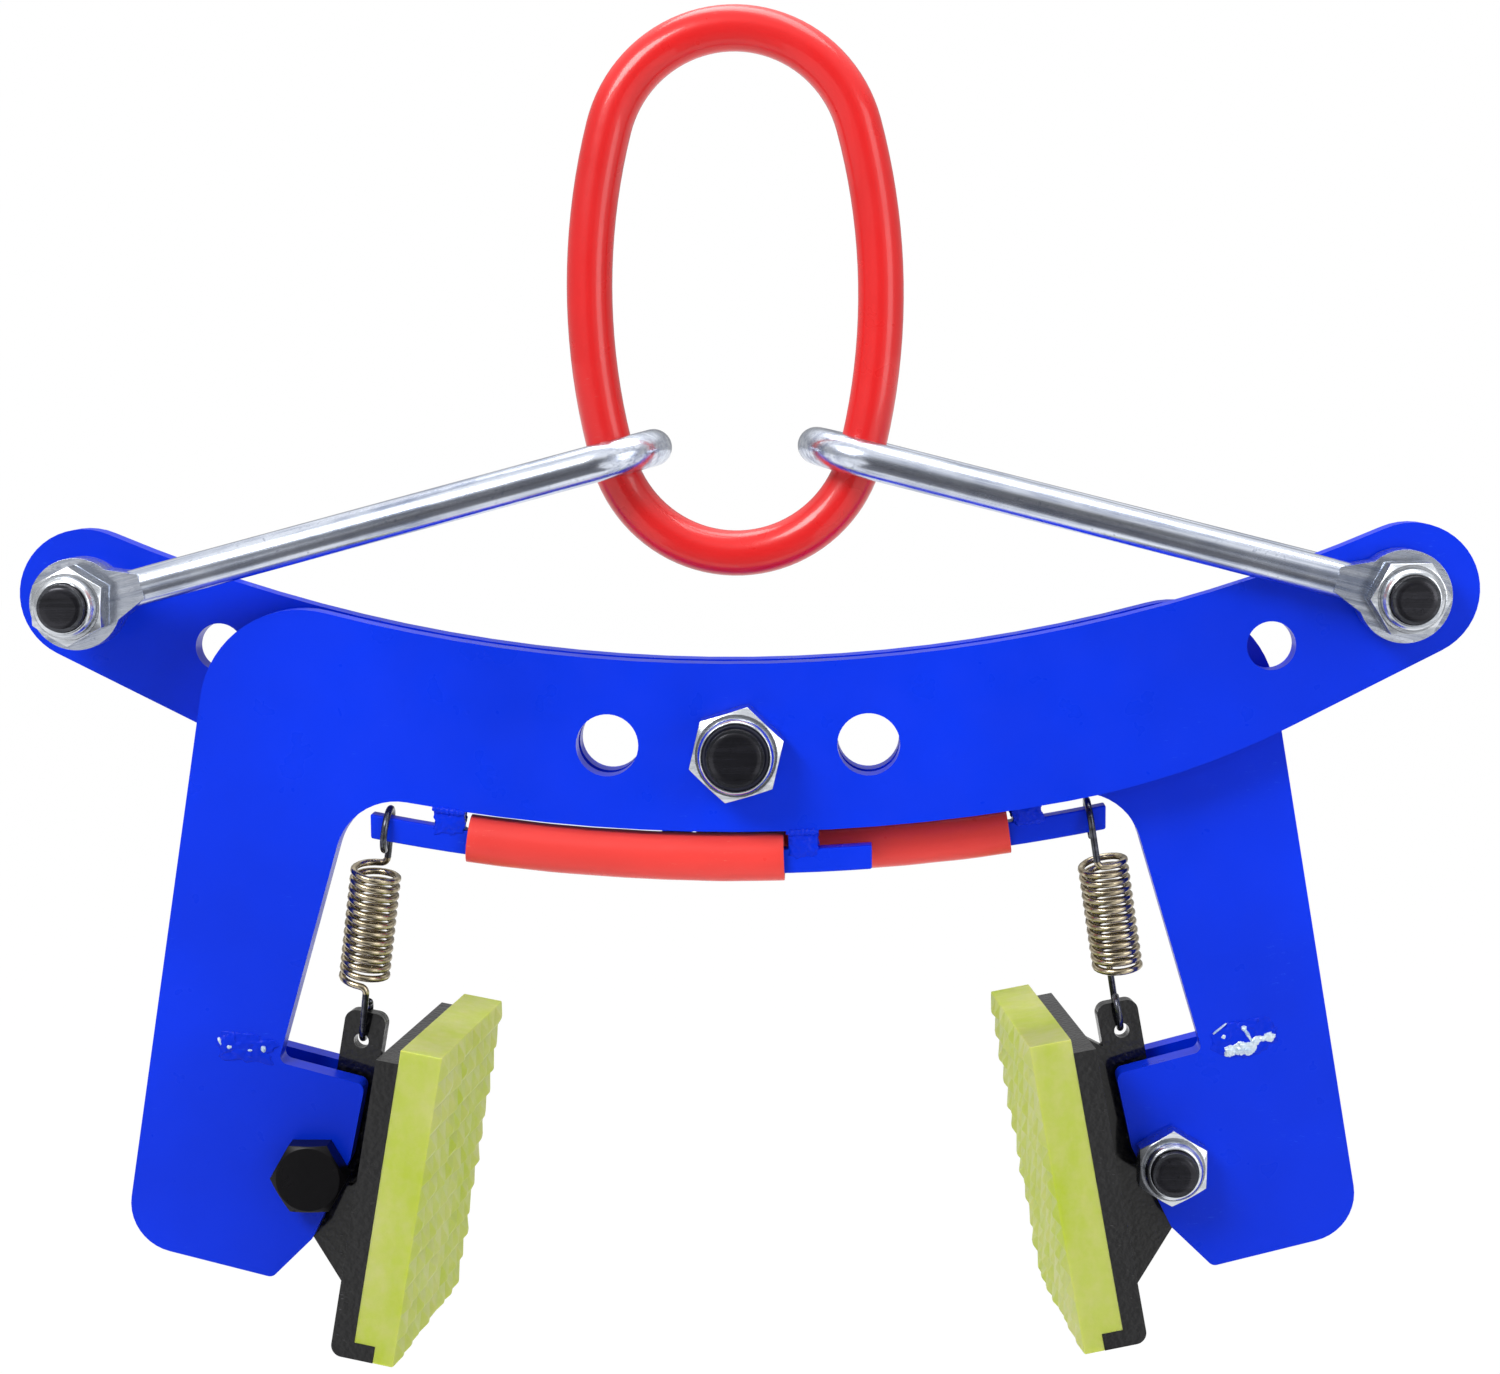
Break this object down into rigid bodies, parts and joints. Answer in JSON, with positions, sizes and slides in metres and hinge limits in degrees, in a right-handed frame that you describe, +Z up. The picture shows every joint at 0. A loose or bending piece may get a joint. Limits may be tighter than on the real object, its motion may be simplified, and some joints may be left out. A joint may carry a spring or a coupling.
{
  "type": "plate lifting clamp",
  "caption": "Scissor lifting clamp: an oval link and long shackles draw crossed plate arms together, so that sprung, toothed pads grip a slab or kerb.",
  "frame": {"origin": "seat of the crane hook: inner top of the master link's opening, on its middle plane", "axes": "+X across the jaws towards the right pad, +Y from the front face to the back, +Z up along the line of lift"},
  "size_m": [0.515, 0.1156, 0.4714],
  "materials": {
    "red_paint": "gloss",
    "blue_paint": "semi-gloss",
    "black_paint": "gloss",
    "zinc_bar": "bright zinc plate",
    "zinc_plate": "bright zinc plate",
    "bolt_steel": "dark steel with black ends",
    "black_bolt": "black oxide",
    "spring_wire": "yellow passivated wire",
    "red_rubber": "satin",
    "urethane": "moulded urethane"
  },
  "bodies": {
    "master_link": {"master_link": "red_paint"},
    "left_shackle": {"left_shackle": "zinc_bar", "left_shackle_bolt": "bolt_steel", "left_shackle_nut": "zinc_plate", "left_long_spacer": "zinc_plate", "left_thin_spacer": "zinc_plate"},
    "rear_arm": {"rear_arm": "blue_paint", "right_jaw_cheek": "blue_paint", "right_jaw_block": "blue_paint", "rear_bumper_bar": "blue_paint", "rear_bumper_sleeve": "red_rubber", "pivot_bolt": "bolt_steel", "pivot_nut": "zinc_plate", "pivot_washer": "zinc_plate", "right_jaw_bolt": "bolt_steel", "right_jaw_nut": "zinc_plate", "right_spring": "spring_wire"},
    "front_arm": {"front_arm": "blue_paint", "left_jaw_cheek": "blue_paint", "left_jaw_block": "blue_paint", "front_bumper_bar": "blue_paint", "front_bumper_sleeve": "red_rubber", "left_jaw_bolt": "black_bolt", "left_jaw_nut": "zinc_plate", "left_spring": "spring_wire"},
    "right_shackle": {"right_shackle": "zinc_bar", "right_shackle_bolt": "bolt_steel", "right_shackle_nut": "zinc_plate", "right_long_spacer": "zinc_plate", "right_thin_spacer": "zinc_plate"},
    "left_pad": {"left_pad_holder": "black_paint", "left_lug_plate": "black_paint", "left_grip_pad": "urethane"},
    "right_pad": {"right_pad_holder": "black_paint", "right_lug_plate": "black_paint", "right_grip_pad": "urethane"}
  },
  "joints": [
    {"name": "left_shackle_swing", "type": "hinge", "parent": "master_link", "child": "left_shackle", "pos_m": [0, 0, -0.129], "axis": [0, -1, 0], "range_deg": [-3.5, 24.5]},
    {"name": "left_tail_pin", "type": "hinge", "parent": "left_shackle", "child": "rear_arm", "pos_m": [-0.229, 0, -0.18865], "axis": [0, -1, 0], "range_deg": [-49.5, 7]},
    {"name": "arm_pivot", "type": "hinge", "parent": "rear_arm", "child": "front_arm", "pos_m": [0, 0, -0.24265], "axis": [0, -1, 0], "range_deg": [-7, 50]},
    {"name": "right_tail_pin", "type": "hinge", "parent": "front_arm", "child": "right_shackle", "pos_m": [0.229, 0, -0.18865], "axis": [0, -1, 0], "range_deg": [-49.5, 7]},
    {"name": "left_pad_tilt", "type": "hinge", "parent": "front_arm", "child": "left_pad", "pos_m": [-0.154, 0.0035, -0.39465], "axis": [0, -1, 0], "range_deg": [-12, 4], "stiffness_Nm_per_rad": 2, "springref_deg": 6.7, "deforming": ["left_spring"]},
    {"name": "right_pad_tilt", "type": "hinge", "parent": "rear_arm", "child": "right_pad", "pos_m": [0.154, 0.0195, -0.39465], "axis": [0, 1, 0], "range_deg": [-12, 4], "stiffness_Nm_per_rad": 2, "springref_deg": 6.7, "deforming": ["right_spring"]}
  ],
  "couplings": [
    {"joint": "left_shackle_swing", "follows": "arm_pivot", "ratio": 0.4835},
    {"joint": "left_tail_pin", "follows": "arm_pivot", "ratio": -0.9835},
    {"joint": "right_tail_pin", "follows": "arm_pivot", "ratio": -0.9835}
  ]
}
